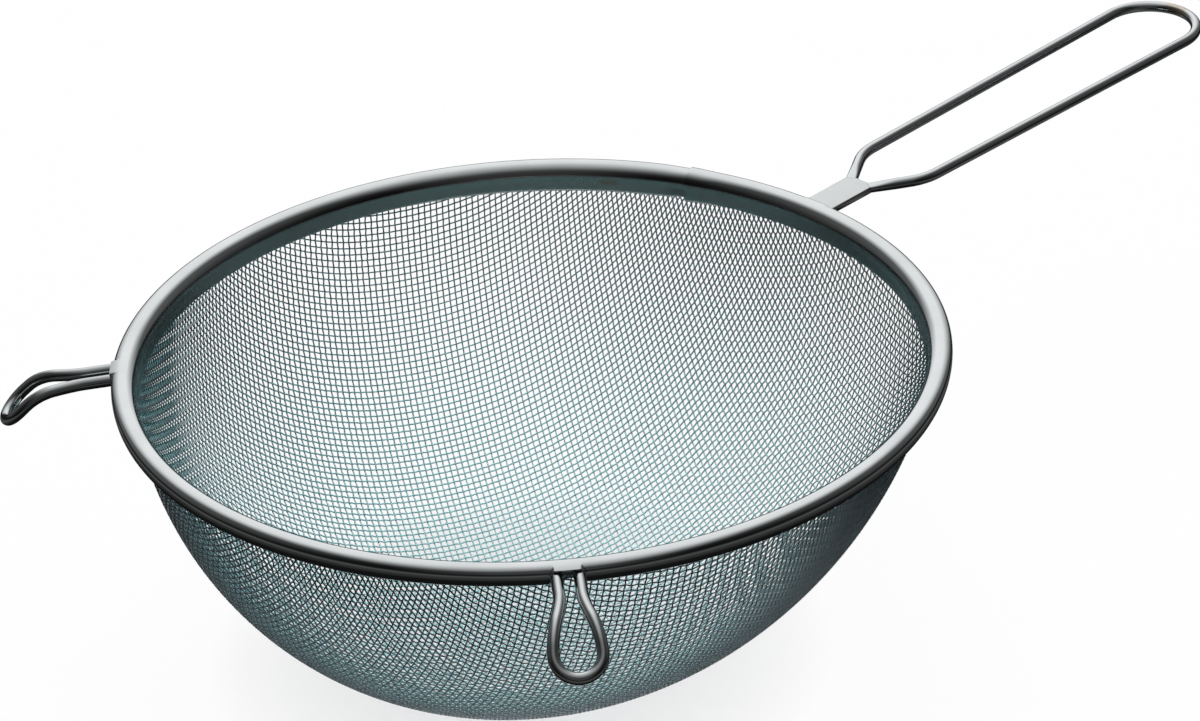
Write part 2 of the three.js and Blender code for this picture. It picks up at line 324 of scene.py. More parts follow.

# Painted shade: a darker colour on the rim's inner wall, fading out within a short depth from its inner face
inner_wall = RIM_RADIUS - RIM_WIDTH
rim_out = rim_nodes.add("SeparateXYZ", {"Vector": round_place(rim_nodes)[1]}).outputs[1]
rim_clean = rim_nodes.shader.inputs["Base Color"].links[0].from_socket
rim_painted_shade = rim_nodes.spread(rim_out, inner_wall * MM, (inner_wall + PAINTED_SHADE_DEPTH) * MM, 1.0, 0.0)
rim_nodes.put(rim_nodes.shader.inputs["Base Color"], rim_nodes.blend(rim_painted_shade, rim_clean, PAINTED_SHADE_TINT))

# Spot weld on the inside of the rim, and a heat tint at the end of the handle
weld_turn = math.radians(WELD_ANGLE)
weld_place = (BOWL_LEAN + inner_wall * math.cos(weld_turn), inner_wall * math.sin(weld_turn),
              BOWL_DEPTH - WELD_DEPTH)
heat_mark(rim_nodes, rim_nodes.add("TexCoord").outputs["Object"], weld_place, WELD_SIZE, WELD_TINT)
handle_end = (BOWL_LEAN + RIM_RADIUS + HANDLE_REACH, 0.0, BOWL_DEPTH)
heat_mark(wire_nodes, wire_nodes.add("TexCoord").outputs["Object"], handle_end, HEAT_SIZE, HEAT_TINT)

# Cloth: steel wire that varies a little from place to place and from wire to wire
CLOTH_LIGHT = (0.42, 0.49, 0.52, 1)
CLOTH_WARM = (0.45, 0.49, 0.52, 1)
CLOTH_DARK = (0.33, 0.37, 0.39, 1)
# Cyan of the painted cool light on the side of the cloth that faces into the bowl
CLOTH_PAINTED_COOL_LIGHT = (0.51, 0.91, 0.94, 1)
mesh_nodes = Nodes("mesh_steel")
mesh_place = mesh_nodes.add("TexCoord").outputs["Object"]
mesh_tone = mesh_nodes.add("Attribute", attribute_name="tone").outputs["Fac"]
mesh_cloud = mesh_nodes.noise(mesh_place, 22.0, 3.0)
mesh_speck = mesh_nodes.noise(mesh_place, 1400.0, 3.0, 0.6)
mesh_colour = mesh_nodes.blend(mesh_nodes.spread(mesh_cloud, 0.35, 0.7, 0.0, 1.0),
                               CLOTH_LIGHT, CLOTH_WARM)
mesh_colour = mesh_nodes.blend(mesh_nodes.spread(mesh_tone, 0.0, 1.0, 0.0, 0.45),
                               mesh_colour, CLOTH_DARK)
# Painted cool light: a cyan tint on the side of each wire that faces into the bowl, most of all towards the
# foot, standing in for cool light from above
mesh_height = mesh_nodes.add("SeparateXYZ", {"Vector": mesh_place}).outputs[2]
mesh_inwards = mesh_nodes.add("VectorMath", {0: RIM_MIDDLE * MM, 1: mesh_place},
                              operation="SUBTRACT").outputs[0]
mesh_inwards = mesh_nodes.add("VectorMath", {0: mesh_inwards}, operation="NORMALIZE").outputs[0]
mesh_facing = mesh_nodes.add("VectorMath", {0: mesh_inwards, 1: mesh_nodes.add("TexCoord").outputs["Normal"]},
                             operation="DOT_PRODUCT").outputs["Value"]
mesh_painted_cool_light = mesh_nodes.math("MULTIPLY", mesh_nodes.spread(mesh_facing, 0.0, 0.6, 0.0, 1.0),
                            mesh_nodes.spread(mesh_height, 0.4 * BOWL_DEPTH * MM, BOWL_DEPTH * MM, 1.0, 0.3))
mesh_colour = mesh_nodes.blend(mesh_painted_cool_light, mesh_colour, CLOTH_PAINTED_COOL_LIGHT)
mesh_nodes.put(mesh_nodes.shader.inputs["Base Color"], mesh_colour)
# Duller towards the foot
mesh_nodes.put(mesh_nodes.shader.inputs["Metallic"],
               mesh_nodes.spread(mesh_height, 0.1 * BOWL_DEPTH * MM, 0.85 * BOWL_DEPTH * MM, 0.36, 0.96))
mesh_nodes.shader.inputs["Specular IOR Level"].default_value = 0.4
mesh_nodes.put(mesh_nodes.shader.inputs["Roughness"],
               mesh_nodes.spread(mesh_speck, 0.3, 0.75, 0.26, 0.44))


# Woven cloth: a net of equal steps laid on the bowl from two crossing lines through its foot

PROFILE_STEPS = 3000
FOOT_BLEND = 0.8
PAST_MOUTH = 14.0


def cloth_profile():
    """Radius and height of the cloth's middle surface by length along it, to a little past the edge in the
    rim. The level foot goes over into the bowl without a crease."""
    sweep = math.radians(BOWL_SWEEP)
    foot = math.asin(FOOT_RADIUS * math.sin(sweep) / MOUTH_RADIUS)
    turn = np.linspace(0.0, sweep, PROFILE_STEPS + 1)
    radius = MOUTH_RADIUS * np.sin(turn) / math.sin(sweep)
    height = BOWL_DROP * (math.cos(foot) - np.cos(turn)) / (math.cos(foot) - math.cos(sweep))
    height = (0.5 * (height + np.sqrt(height ** 2 + FOOT_BLEND ** 2))
              - 0.5 * FOOT_BLEND * np.exp(-(height / FOOT_BLEND) ** 2))
    height = np.maximum(height, 0.0)
    slope = unit(np.stack([np.gradient(radius), np.gradient(height)], -1))
    inset = CLOTH_THICKNESS / 2
    radius = radius - inset * slope[:, 1]
    height = height + inset * slope[:, 0]
    radius[0] = 0.0
    lift = np.linspace(0.0, PAST_MOUTH, 200)[1:]
    radius = np.concatenate([radius, radius[-1] + lift * SKIRT_TILT])
    height = np.concatenate([height, height[-1] + lift])
    length = np.concatenate([[0.0], np.cumsum(np.hypot(np.diff(radius), np.diff(height)))])
    edge = np.interp(BOWL_DROP + CLOTH_HOLD, height, length)
    return length, radius, height, edge


CLOTH_LENGTH, CLOTH_RADIUS, CLOTH_HEIGHT, CLOTH_END = cloth_profile()


def on_cloth(place):
    """Points on the cloth's middle surface: place is a direction from the foot times the length along it."""
    length = np.hypot(place[:, 0], place[:, 1])
    way = place / np.maximum(length, 1e-9)[:, None]
    radius = np.interp(length, CLOTH_LENGTH, CLOTH_RADIUS)
    height = np.interp(length, CLOTH_LENGTH, CLOTH_HEIGHT)
    shift = BOWL_LEAN * np.minimum(height / BOWL_DROP, 1.0)
    return np.stack([radius * way[:, 0] + shift, radius * way[:, 1], height], -1)


def cloth_slopes(place):
    """How a point on the cloth moves with its place, along the two directions of the place."""
    step = 1e-3
    across = [np.array([step, 0.0]), np.array([0.0, step])]
    return [(on_cloth(place + d) - on_cloth(place - d)) / (2 * step) for d in across]


def cloth_normals(place):
    first, second = cloth_slopes(place)
    return unit(np.cross(first, second))


def net_step(left, right, guess):
    """Places one pitch from both neighbours, found by correcting a guess a few times along the surface."""
    place = guess.copy()
    left_point, right_point = on_cloth(left), on_cloth(right)
    for _ in range(12):
        point = on_cloth(place)
        first, second = cloth_slopes(place)
        to_left, to_right = point - left_point, point - right_point
        miss_left = (to_left ** 2).sum(-1) - WIRE_PITCH ** 2
        miss_right = (to_right ** 2).sum(-1) - WIRE_PITCH ** 2
        a, b = 2 * (to_left * first).sum(-1), 2 * (to_left * second).sum(-1)
        c, d = 2 * (to_right * first).sum(-1), 2 * (to_right * second).sum(-1)
        scale = a * d - b * c
        scale = np.where(np.abs(scale) < 1e-9, 1e-9, scale)
        move = np.stack([(d * miss_left - b * miss_right) / scale,
                         (a * miss_right - c * miss_left) / scale], -1)
        size = np.linalg.norm(move, axis=-1, keepdims=True)
        place = place - move * np.minimum(1.0, WIRE_PITCH / np.maximum(size, 1e-9))
    return place


def cloth_net():
    """Places of the crossings, by wire number each way, with nan where the cloth has ended."""
    limit = CLOTH_END + 2 * WIRE_PITCH
    reach = int(limit / WIRE_PITCH) + 3
    places = np.full((2 * reach + 1, 2 * reach + 1, 2), np.nan)
    places[reach, reach] = 0.0
    for turn, index in ((0, (1, 0)), (90, (0, 1)), (180, (-1, 0)), (270, (0, -1))):
        angle = math.radians(WEAVE_ANGLE + turn)
        way = np.array([math.cos(angle), math.sin(angle)])
        length = 0.0
        last = on_cloth(np.zeros((1, 2)))
        for k in range(1, reach + 1):
            tries = length + np.linspace(0.9, 1.1, 41) * WIRE_PITCH
            gaps = np.linalg.norm(on_cloth(tries[:, None] * way) - last, axis=-1)
            length = np.interp(WIRE_PITCH, gaps, tries)
            if length > limit:
                break
            places[reach + k * index[0], reach + k * index[1]] = length * way
            last = on_cloth((length * way)[None])
    for sign_a, sign_b in ((1, 1), (1, -1), (-1, 1), (-1, -1)):
        for total in range(2, 2 * reach + 1):
            a = np.arange(max(1, total - reach), min(reach, total - 1) + 1)
            b = total - a
            back = places[reach + sign_a * (a - 1), reach + sign_b * b]
            side = places[reach + sign_a * a, reach + sign_b * (b - 1)]
            corner = places[reach + sign_a * (a - 1), reach + sign_b * (b - 1)]
            known = ~np.isnan(back[:, 0] + side[:, 0] + corner[:, 0])
            if not known.any():
                continue
            found = net_step(back[known], side[known], (back + side - corner)[known])
            found[np.hypot(found[:, 0], found[:, 1]) > limit] = np.nan
            places[reach + sign_a * a[known], reach + sign_b * b[known]] = found
    return places


def wire_path(places, parity):
    """Centre points and normals of one wire that goes over and under, cut at the cloth's edge."""
    knots = np.empty((2 * len(places) - 1, 2))
    knots[0::2] = places
    knots[1::2] = (places[1:] + places[:-1]) / 2
    normals = cloth_normals(knots)
    wave = np.zeros(len(knots))
    wave[0::2] = (1 - 2 * ((np.arange(len(places)) + parity) % 2)) * WIRE_DIAMETER / 2
    points = on_cloth(knots) + wave[:, None] * normals
    length = np.hypot(knots[:, 0], knots[:, 1])
    inside = np.flatnonzero(length <= CLOTH_END)
    if len(inside) < 3:
        return None
    first, last = inside[0], inside[-1]
    path, upright = [points[first:last + 1]], [normals[first:last + 1]]
    for end, beyond, front in ((first, first - 1, True), (last, last + 1, False)):
        if 0 <= beyond < len(knots):
            share = (CLOTH_END - length[end]) / (length[beyond] - length[end])
            if share > 0.1:
                cut = points[end] + share * (points[beyond] - points[end])
                path.insert(0 if front else len(path), cut[None])
                upright.insert(0 if front else len(upright), normals[end][None])
    return np.vstack(path), np.vstack(upright)


WIRE_SIDES = 6
CLOTH_PIECES = 4


def weave_cloth():
    """All the wires, in a few meshes each way, with a tone of its own for each wire."""
    places = cloth_net()
    section = circle_section(WIRE_DIAMETER / 2, WIRE_SIDES)
    draw = np.random.default_rng(7)
    made = []
    for way, grid in (("warp", places), ("weft", places.transpose(1, 0, 2))):
        rows = []
        for row in range(grid.shape[1]):
            line = grid[:, row]
            known = np.flatnonzero(~np.isnan(line[:, 0]))
            if len(known) < 3:
                continue
            parity = known[0] + row + (0 if way == "warp" else 1)
            path = wire_path(line[known], parity)
            if path is not None:
                rows.append(path)
        sizes = np.array([len(path) for path, _ in rows])
        share = (np.cumsum(sizes) - 1) * CLOTH_PIECES // sizes.sum()
        for part in range(CLOTH_PIECES):
            points, quads, caps, tones = [], [], [], []
            count = 0
            for index in np.flatnonzero(share == part):
                path, upright = rows[index]
                rings = tube_rings(path, upright, section)
                faces, ends = ring_faces(len(path), WIRE_SIDES, count)
                points.append(rings.reshape(-1, 3))
                quads.append(faces)
                caps.extend(ends)
                count += rings.shape[0] * WIRE_SIDES
                tones.append(np.full(rings.shape[0] * WIRE_SIDES, draw.random(), np.float32))
            name = "cloth_%s_%d" % (way, part + 1)
            obj = add_mesh(name, np.vstack(points), np.vstack(quads), caps, mesh_nodes.material)
            tone = obj.data.attributes.new("tone", "FLOAT", "POINT")
            tone.data.foreach_set("value", np.concatenate(tones))
            made.append(obj)
    return made


for cloth in weave_cloth():
    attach(cloth, "root")
    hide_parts("mesh_bowl")


# Rim: the rolled strip, closed by a lapped seam, its wall turned up into flat tabs over the ears and the neck

CURVE_STEPS = 10
LAP_RUN = 5.0
LAP_RISE = 0.24
LAP_SINK = 0.14
# How far the skirt's edge hangs down before the seam and after it
LAP_SKIRTS = (0.3, -0.5)
# Waves of the skirt's edge: height, number round the rim and shift
RIPPLES = [(0.07, 3, 0.6), (0.05, 8, 2.1), (0.03, 19, 0.0)]
# Degrees over which the wall turns up into a tab
FOLD_RUN = 0.8


def rim_section(tab=None):
    """The strip's outline as (depth below the top, distance in from the outside) pairs, from the lip over
    the top to the skirt and back inside. A tab takes the outer wall's place: it has its reach outwards,
    the depth of its end and the distance in at which its top starts to fall."""
    crest = (OUTER_CORNER + RIM_WIDTH - INNER_CORNER) / 2
    inside = RIM_WIDTH - RIM_SHEET
    lip_face = OUTER_WALL - RIM_SHEET
    lip_reach = RIM_RADIUS - LIP_EDGE
    if tab is None:
        wall = [
            [(OUTER_WALL, lip_reach)],
            curve([(OUTER_WALL, LIP_RADIUS), (OUTER_WALL, 0), (OUTER_WALL - LIP_RADIUS, 0)], CURVE_STEPS),
            curve([(OUTER_FOOT, 0), (OUTER_FOOT / 3, 0), (0, OUTER_CORNER / 2), (0, crest)], CURVE_STEPS),
        ]
        back = [
            curve([(RIM_UNDERSIDE, OUTER_CORNER), (RIM_UNDERSIDE, RIM_SHEET), (OUTER_FOOT, RIM_SHEET)],
                  CURVE_STEPS),
            curve([(OUTER_WALL - LIP_RADIUS, RIM_SHEET), (lip_face, RIM_SHEET), (lip_face, LIP_RADIUS)],
                  CURVE_STEPS),
            [(lip_face, lip_reach)],
        ]
    else:
        reach, drop, fall = tab
        under = max(RIM_UNDERSIDE, drop + 0.7 * RIM_SHEET)
        wall = [
            curve([(under, -reach), (drop, -reach)], CURVE_STEPS + 1),
            curve([(drop, -reach), (0, fall), (0, crest)], CURVE_STEPS + 1)[1:],
        ]
        back = [curve([(RIM_UNDERSIDE, OUTER_CORNER), (under, RIM_SHEET / 4 - reach)], 2 * CURVE_STEPS + 2)]
    inner_pull = RIM_WIDTH - INNER_CORNER * 0.6
    turned = INNER_FOOT + INNER_CORNER * 0.4
    top = [
        curve([(0, crest), (0, inner_pull), (turned / 3, RIM_WIDTH), (turned, RIM_WIDTH)],
              2 * CURVE_STEPS)[1:],
        curve([(turned, RIM_WIDTH), (INNER_SKIRT - RIM_SHEET / 2, RIM_WIDTH + SKIRT_LEAN)], 4)[1:],
        arc(INNER_SKIRT - RIM_SHEET / 2, inside + SKIRT_LEAN + RIM_SHEET / 2, RIM_SHEET / 2, 90, -90, 8)[1:],
        curve([(INNER_SKIRT - RIM_SHEET / 2, inside + SKIRT_LEAN), (INNER_FOOT, inside)], 4)[1:],
        curve([(INNER_FOOT, inside), (RIM_UNDERSIDE, inside), (RIM_UNDERSIDE, RIM_WIDTH - INNER_CORNER)],
              CURVE_STEPS)[1:],
    ]
    return np.vstack([np.array(run, float) for run in wall + top + back])[::-1]


def from_seam(angle):
    """Degrees past the seam, between -180 and 180."""
    return (angle - SEAM_ANGLE + 180) % 360 - 180


def rim_ring(section, angle):
    """The section at an angle. At the seam the upper end of the strip stands proud and the lower is sunk."""
    turn = math.radians(angle)
    past = from_seam(angle)
    near = smooth_step(1 - abs(past) / LAP_RUN)
    grow = near * (LAP_RISE if past < 0 else -LAP_SINK)
    centre = np.array([OUTER_WALL / 2, RIM_WIDTH / 2])
    section = section + grow * unit(section - centre)
    depth, inset = section[:, 0], section[:, 1]
    skirt = smooth_step((depth - INNER_FOOT) / (INNER_SKIRT - INNER_FOOT)) * (inset > RIM_WIDTH / 2)
    ripple = sum(high * math.sin(waves * turn + shift) for high, waves, shift in RIPPLES)
    taper = near * LAP_SKIRTS[1 if past > 0 else 0]
    depth = depth + skirt * (ripple + taper)
    radius = RIM_RADIUS - inset
    return np.stack([radius * math.cos(turn), radius * math.sin(turn), -depth], -1) + RIM_MIDDLE


def build_rim():
    """One closed sweep, with more rings at the seam and at the sides of the tabs."""
    ear_half = math.degrees(math.asin((EAR_PITCH + EAR_WIRE + 2 * FIT_GAP) / 2 / RIM_RADIUS))
    neck_half = math.degrees(math.asin((NECK_WIDTH + 2 * FIT_GAP) / 2 / RIM_RADIUS))
    notches = [(angle, ear_half, EAR_TAB) for angle in EAR_ANGLES.values()]
    notches.append((0.0, neck_half, NECK_TAB))
    close_up = np.linspace(-LAP_RUN, LAP_RUN, 41)
    places = [np.arange(0, 360, 0.75), SEAM_ANGLE + close_up, SEAM_ANGLE + np.array([-0.06, 0.06])]
    for middle, half, _ in notches:
        edge = np.linspace(0, FOLD_RUN, 7)
        places += [middle - half + edge, middle + half - edge, middle + np.linspace(-half, half, 9)]
    angles = np.unique(np.round(np.concatenate(places) % 360, 3))
    wall = rim_section()
    rings = []
    for angle in angles:
        section = wall
        for middle, half, tab in notches:
            inward = half - abs((angle - middle + 180) % 360 - 180)
            if inward > 0:
                section = wall + smooth_step(inward / FOLD_RUN) * (rim_section(tab) - wall)
        rings.append(rim_ring(section, angle))
    sides = len(wall)
    quads, _ = ring_faces(len(rings) + 1, sides)
    obj = add_mesh("rim_strip", np.vstack(rings), quads % (len(rings) * sides), [], rim_nodes.material)
    obj.data.set_sharp_from_angle(angle=math.radians(50))
    return obj


rim = build_rim()
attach(rim, "root")
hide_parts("rim")

TUBE_SIDES = 28


def add_tube(name, path, normals, section, material):
    """A wire along a path, with a map whose first number runs along it and second goes round it."""
    rings = tube_rings(path, normals, section)
    sides = rings.shape[1]
    quads, caps = ring_faces(len(rings), sides)
    obj = add_mesh(name, rings.reshape(-1, 3), quads, caps, material)
    run = np.concatenate([[0], np.cumsum(np.linalg.norm(np.diff(path, axis=0), axis=-1))]) * MM
    ring_of, side_of = np.divmod(np.arange(len(rings) * sides), sides)
    corners = np.concatenate([quads.ravel(), *caps])
    around = side_of[corners] / sides
    column = np.tile([0, 1, 1, 0], len(quads))
    wraps = np.zeros(len(corners), bool)
    wraps[:quads.size] = (column == 1) & (side_of[corners[:quads.size]] == 0)
    around = np.where(wraps, 1.0, around)
    along_map = obj.data.uv_layers.new(name="along")
    along_map.data.foreach_set("uv", np.stack([run[ring_of[corners]], around], -1).astype(np.float32).ravel())
    return obj


# Ears: wire loops in a sheet that slopes down from the rim and bends further down towards the tip

def ear_point(along, across):
    """Points and normals of the ear's sheet, by length along it from the rim and distance across."""
    slope, tip_slope = math.radians(EAR_SLOPE), math.radians(EAR_TIP_SLOPE)
    bend_length = (tip_slope - slope) * EAR_BEND_RADIUS
    straight = np.minimum(along, EAR_BEND_START)
    bent = np.clip(along - EAR_BEND_START, 0, bend_length)
    tip = np.maximum(along - EAR_BEND_START - bend_length, 0)
    turned = slope + bent / EAR_BEND_RADIUS
    out = (straight * math.cos(slope) + EAR_BEND_RADIUS * (np.sin(turned) - math.sin(slope))
           + tip * math.cos(tip_slope))
    down = (straight * math.sin(slope) + EAR_BEND_RADIUS * (math.cos(slope) - np.cos(turned))
            + tip * math.sin(tip_slope))
    point = np.stack([RIM_RADIUS + out, across, -down], -1)
    normal = np.stack([np.sin(turned), np.zeros_like(turned), np.cos(turned)], -1)
    return point, normal


def mirrored(points):
    return (points * np.array([1.0, -1.0]))[::-1]


def build_ear(name, angle):
    end_radius = EAR_WIDTH / 2
    end_middle = EAR_REACH - end_radius
    third = (end_middle - EAR_STRAIGHT) / 3
    half = EAR_PITCH / 2
    root = curve([(ROOT_RADIUS - RIM_RADIUS, -half), (EAR_STRAIGHT, -half)], 14)
    widening = curve([(EAR_STRAIGHT, -half), (EAR_STRAIGHT + third, -half),
                      (end_middle - third, -end_radius), (end_middle, -end_radius)], 36)[1:]
    end = arc(end_middle, 0, end_radius, -90, 90, 40)[1:-1]
    leg = np.vstack([root, widening])
    flat = np.vstack([leg, end, mirrored(leg)])
    points, normals = ear_point(flat[:, 0], flat[:, 1])
    turn = np.array(Matrix.Rotation(math.radians(angle), 3, "Z"))
    place = RIM_MIDDLE - np.array([0, 0, RIM_UNDERSIDE + FIT_GAP + EAR_WIRE / 2])
    obj = add_tube(name + "_wire", points @ turn.T + place, normals @ turn.T,
                   circle_section(EAR_WIRE / 2, TUBE_SIDES), wire_nodes.material)
    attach(obj, "root")
    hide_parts(name)


for ear_name, ear_angle in EAR_ANGLES.items():
    build_ear(ear_name, ear_angle)


# Handle: one wire out from the flat neck, round the far end and back, pressed flat where it meets the neck

rise = np.array(Matrix.Rotation(-math.radians(HANDLE_RISE), 3, "Y"))
HANDLE_PLACE = RIM_MIDDLE + np.array([RIM_RADIUS, 0, -(RIM_UNDERSIDE + FIT_GAP + NECK_THICKNESS / 2)])
splay = math.radians(SPLAY_ANGLE)
leg_way = np.array([math.cos(splay), math.sin(splay)])
leg_root = np.array([NECK_LENGTH - HANDLE_WIRE / 2 * leg_way[1],
                     NECK_WIDTH / 2 - HANDLE_WIRE / 2 * leg_way[0]])
# Length over which the pressed end becomes round, and how square the pressed end is
FLATTENED = 9.0
SQUARE_POWER = 0.45


def build_handle():
    """The whole loop as one tube, whose section goes over from round to flat at its two ends."""
    end_radius = HANDLE_WIDTH / 2
    end_middle = HANDLE_REACH - end_radius
    taper = math.radians(HANDLE_TAPER)
    start = leg_root - 0.5 * leg_way
    run = ((end_radius - start[1] - (end_middle - start[0]) * math.tan(taper))
           / (leg_way[1] - leg_way[0] * math.tan(taper)))
    corner = start + run * leg_way
    bend_angle = SPLAY_ANGLE - HANDLE_TAPER
    bend_start = corner - HANDLE_BEND * math.tan(math.radians(bend_angle) / 2) * leg_way
    bend_middle = bend_start + HANDLE_BEND * np.array([leg_way[1], -leg_way[0]])
    bend = arc(bend_middle[0], bend_middle[1], HANDLE_BEND, 90 + SPLAY_ANGLE, 90 + HANDLE_TAPER, 20)
    end = arc(end_middle, 0, end_radius, 90, -90, 72)
    root = curve([start, bend[0]], 24)[:-1]
    grip = curve([bend[-1], end[0]], 40)[1:-1]
    leg = np.vstack([root, bend, grip])
    flat = np.vstack([leg, end, mirrored(leg)])
    gaps = np.concatenate([[0], np.cumsum(np.linalg.norm(np.diff(flat, axis=0), axis=-1))])
    from_end = np.minimum(gaps, gaps[-1] - gaps)
    roundness = smooth_step(from_end / FLATTENED)[:, None]
    turn = np.arange(TUBE_SIDES) * (2 * math.pi / TUBE_SIDES)
    power = SQUARE_POWER + (1 - SQUARE_POWER) * roundness
    high = NECK_THICKNESS / 2 + (HANDLE_WIRE - NECK_THICKNESS) / 2 * roundness
    up = np.sign(np.cos(turn)) * np.abs(np.cos(turn)) ** power * high
    side = -np.sign(np.sin(turn)) * np.abs(np.sin(turn)) ** power * HANDLE_WIRE / 2
    points = np.column_stack([flat, np.zeros(len(flat))])
    normals = np.tile([0.0, 0.0, 1.0], (len(flat), 1))
    obj = add_tube("handle_wire", points @ rise.T + HANDLE_PLACE, normals @ rise.T,
                   np.stack([up, side], -1), wire_nodes.material)
    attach(obj, "root")
    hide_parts("handle_loop")


def build_neck():
    """A flat plate from inside the rim to the two cut ends of the handle wire, with its edges rounded."""
    face_half = np.array([-leg_way[1], leg_way[0]]) * HANDLE_WIRE / 2
    outer_corner = leg_root + face_half
    inner_corner = leg_root - face_half
    root = ROOT_RADIUS - RIM_RADIUS
    half = NECK_WIDTH / 2
    outline = [(root, -half), (outer_corner[0], -outer_corner[1]), (inner_corner[0], -inner_corner[1]),
               tuple(inner_corner), tuple(outer_corner), (root, half)]
    mesh = bmesh.new()
    corners = [mesh.verts.new((x, y, -NECK_THICKNESS / 2)) for x, y in outline]
    face = mesh.faces.new(corners)
    lifted = bmesh.ops.extrude_face_region(mesh, geom=[face])
    for vert in lifted["geom"]:
        if isinstance(vert, bmesh.types.BMVert):
            vert.co.z = NECK_THICKNESS / 2
    bmesh.ops.recalc_face_normals(mesh, faces=mesh.faces)
    level = [edge for edge in mesh.edges if abs(edge.verts[0].co.z - edge.verts[1].co.z) < 0.1]
    bmesh.ops.bevel(mesh, geom=level, offset=NECK_BEVEL, segments=4, profile=0.5, affect="EDGES")
    place = Matrix.Translation(Vector(HANDLE_PLACE)) @ Matrix.Rotation(-math.radians(HANDLE_RISE), 4, "Y")
    mesh.transform(Matrix.Scale(MM, 4) @ place)
    data = bpy.data.meshes.new("neck_plate")
    mesh.to_mesh(data)
    mesh.free()
    for polygon in data.polygons:
        polygon.use_smooth = True
    data.materials.append(neck_nodes.material)
    obj = bpy.data.objects.new("neck_plate", data)
    bpy.context.scene.collection.objects.link(obj)
    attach(obj, "root")
    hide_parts("handle_neck")


build_handle()
build_neck()

# The hoop inside the rim keeps its own shape and gets a duller steel
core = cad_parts["rim_core"]
core.data.materials.clear()
core.data.materials.append(core_nodes.material)


# Stage: pale floor, white surroundings, cards that only polished metal sees, and one soft lamp

FLOOR_HALF = 6.0
# Share of plain white in the floor that the camera sees, at two distances from the foot in metres
FLOOR_WHITE = [(0.02, 0.35), (0.085, 0.96)]
SOFT_LIGHT = 0.12


def seen_directly(nodes_tree, add):
    """One for rays that show the surroundings: seen by the camera, in metal or through glass."""
    path = add("LightPath")
    first = add("Math", operation="MAXIMUM")
    nodes_tree.links.new(path.outputs["Is Camera Ray"], first.inputs[0])
    nodes_tree.links.new(path.outputs["Is Glossy Ray"], first.inputs[1])
    second = add("Math", operation="MAXIMUM")
    nodes_tree.links.new(first.outputs[0], second.inputs[0])
    nodes_tree.links.new(path.outputs["Is Transmission Ray"], second.inputs[1])
    return second.outputs[0]


def build_world():
    """White where it is seen, and a weak cool light on what it lights."""
    world = bpy.data.worlds.new("studio")
    bpy.context.scene.world = world
    world.use_nodes = True
    tree = world.node_tree
    tree.nodes.clear()

    def add(kind, **settings):
        node = tree.nodes.new("ShaderNode" + kind)
        for key, value in settings.items():
            setattr(node, key, value)
        return node

    shown = seen_directly(tree, add)
    soft = add("Background")
    soft.inputs["Color"].default_value = (0.93, 0.96, 1.0, 1)
    soft.inputs["Strength"].default_value = SOFT_LIGHT
    white = add("Background")
    white.inputs["Color"].default_value = (1, 1, 1, 1)
    white.inputs["Strength"].default_value = 1.0
    mix = add("MixShader")
    tree.links.new(shown, mix.inputs[0])
    tree.links.new(soft.outputs[0], mix.inputs[1])
    tree.links.new(white.outputs[0], mix.inputs[2])
    output = add("OutputWorld")
    tree.links.new(mix.outputs[0], output.inputs[0])


def build_floor():
    """Plain and pale, with the object's shadow: whiter away from the foot."""
    nodes = Nodes("floor")
    nodes.tree.nodes.remove(nodes.shader)
    grain = nodes.noise(nodes.add("TexCoord").outputs["Object"], 9.0, 2.0)
    tint = nodes.blend(grain, (0.86, 0.87, 0.87, 1), (0.90, 0.90, 0.90, 1))
    matte = nodes.add("BsdfDiffuse", {"Color": tint})
    glow = nodes.add("Emission", {"Color": (1, 1, 1, 1), "Strength": 1.0})
    shown = seen_directly(nodes.tree, nodes.add)
    place = nodes.add("TexCoord").outputs["Object"]
    from_foot = nodes.add("VectorMath", {0: place}, operation="LENGTH").outputs["Value"]
    (near, least), (far, most) = FLOOR_WHITE
    share = nodes.math("MULTIPLY", shown, nodes.spread(from_foot, near, far, least, most))
    mix = nodes.add("MixShader", {0: share, 1: matte.outputs[0], 2: glow.outputs[0]})
    nodes.put(nodes.tree.nodes["Material Output"].inputs["Surface"], mix.outputs[0])
    mesh = bpy.data.meshes.new("floor")
    corners = [(x * FLOOR_HALF, y * FLOOR_HALF, 0) for x, y in ((-1, -1), (1, -1), (1, 1), (-1, 1))]
    mesh.from_pydata(corners, [], [(0, 1, 2, 3)])
    mesh.materials.append(nodes.material)
    floor = bpy.data.objects.new("floor", mesh)
    bpy.context.scene.collection.objects.link(floor)


# Camera at the photograph's viewing angle, in degrees, millimetres from the rim's middle and picture pixels
CAMERA_AZIMUTH = -132.5
CAMERA_ELEVATION = 29.1864
CAMERA_DISTANCE = 1430.0
CAMERA_PAN = 0.81999
CAMERA_TILT = 0.15767
CAMERA_ROLL = -2.99472
FOCAL_PIXELS = 5470.34
IMAGE_WIDTH = 1200
SENSOR_WIDTH = 36.0


def add_card(name, grid, paint):
    """A card that only polished metal sees: it lights nothing and hides nothing from the camera.
    Paint is a function that works out its brightness with the card's nodes."""
    nodes = Nodes(name)
    nodes.tree.nodes.remove(nodes.shader)
    glow = nodes.add("Emission", {"Color": (1, 1, 1, 1), "Strength": paint(nodes)})
    nodes.put(nodes.tree.nodes["Material Output"].inputs["Surface"], glow.outputs[0])
    index = np.arange(grid.shape[0] * grid.shape[1]).reshape(grid.shape[:2])
    faces = np.stack([index[:-1, :-1], index[:-1, 1:], index[1:, 1:], index[1:, :-1]], -1).reshape(-1, 4)
    mesh = bpy.data.meshes.new(name)
    mesh.from_pydata(grid.reshape(-1, 3).tolist(), [], faces.tolist())
    mesh.materials.append(nodes.material)
    card = bpy.data.objects.new(name, mesh)
    bpy.context.scene.collection.objects.link(card)
    card.visible_camera = False
    card.visible_diffuse = False
    card.visible_shadow = False
    card.visible_transmission = False


